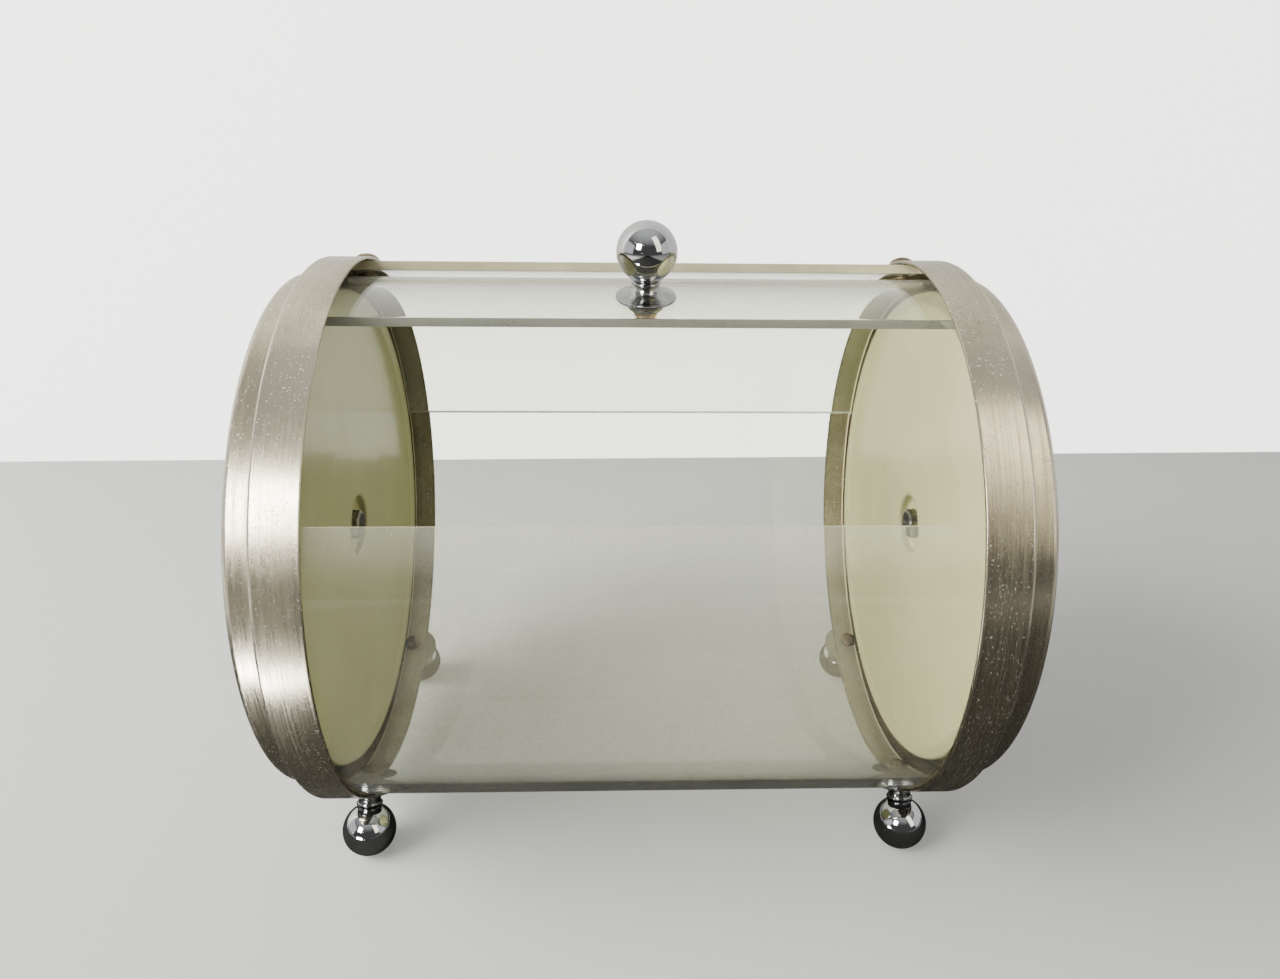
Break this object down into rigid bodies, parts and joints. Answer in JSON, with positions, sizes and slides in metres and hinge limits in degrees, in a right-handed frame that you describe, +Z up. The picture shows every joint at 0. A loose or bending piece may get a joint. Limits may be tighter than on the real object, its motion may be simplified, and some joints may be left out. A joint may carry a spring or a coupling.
{
  "type": "roll-top drum box",
  "caption": "Clear horizontal drum box with stepped metal end caps, a roll-back clear lid with a ball knob, and ball feet.",
  "frame": {"origin": "centre of the object's footprint, on the surface that its feet stand on", "axes": "+X along the drum to its right end, +Y towards its back, +Z up"},
  "size_m": [0.2622, 0.2, 0.2306],
  "materials": {
    "clear_acrylic": "clear polished sheet with fine wear",
    "brushed_nickel": "aged brushed",
    "cream_enamel": "gloss",
    "chrome": "polished",
    "zinc_steel": "dull plated",
    "brass": "dull"
  },
  "bodies": {
    "housing": {"clear_body": "clear_acrylic", "left_end_cap": "brushed_nickel", "right_end_cap": "brushed_nickel", "left_inner_disc": "cream_enamel", "right_inner_disc": "cream_enamel", "left_centre_bolt": "zinc_steel", "right_centre_bolt": "zinc_steel", "left_centre_spacer": "zinc_steel", "right_centre_spacer": "zinc_steel", "left_outer_washer": "chrome", "right_outer_washer": "chrome", "left_cap_nut": "chrome", "right_cap_nut": "chrome", "left_rear_screw": "zinc_steel", "right_rear_screw": "zinc_steel", "left_rear_nut": "zinc_steel", "right_rear_nut": "zinc_steel", "foot_ball_front_left": "chrome", "foot_ball_front_right": "chrome", "foot_ball_rear_left": "chrome", "foot_ball_rear_right": "chrome", "foot_base_front_left": "chrome", "foot_base_front_right": "chrome", "foot_base_rear_left": "chrome", "foot_base_rear_right": "chrome", "foot_screw_front_left": "zinc_steel", "foot_screw_front_right": "zinc_steel", "foot_screw_rear_left": "zinc_steel", "foot_screw_rear_right": "zinc_steel"},
    "lid": {"lid": "clear_acrylic", "knob_ball": "chrome", "knob_base": "chrome", "knob_washer": "chrome", "knob_screw": "brass"}
  },
  "joints": [
    {"name": "lid_roll", "type": "hinge", "parent": "housing", "child": "lid", "pos_m": [0, 0, 0.1133], "axis": [-1, 0, 0], "range_deg": [-47, 13]}
  ]
}
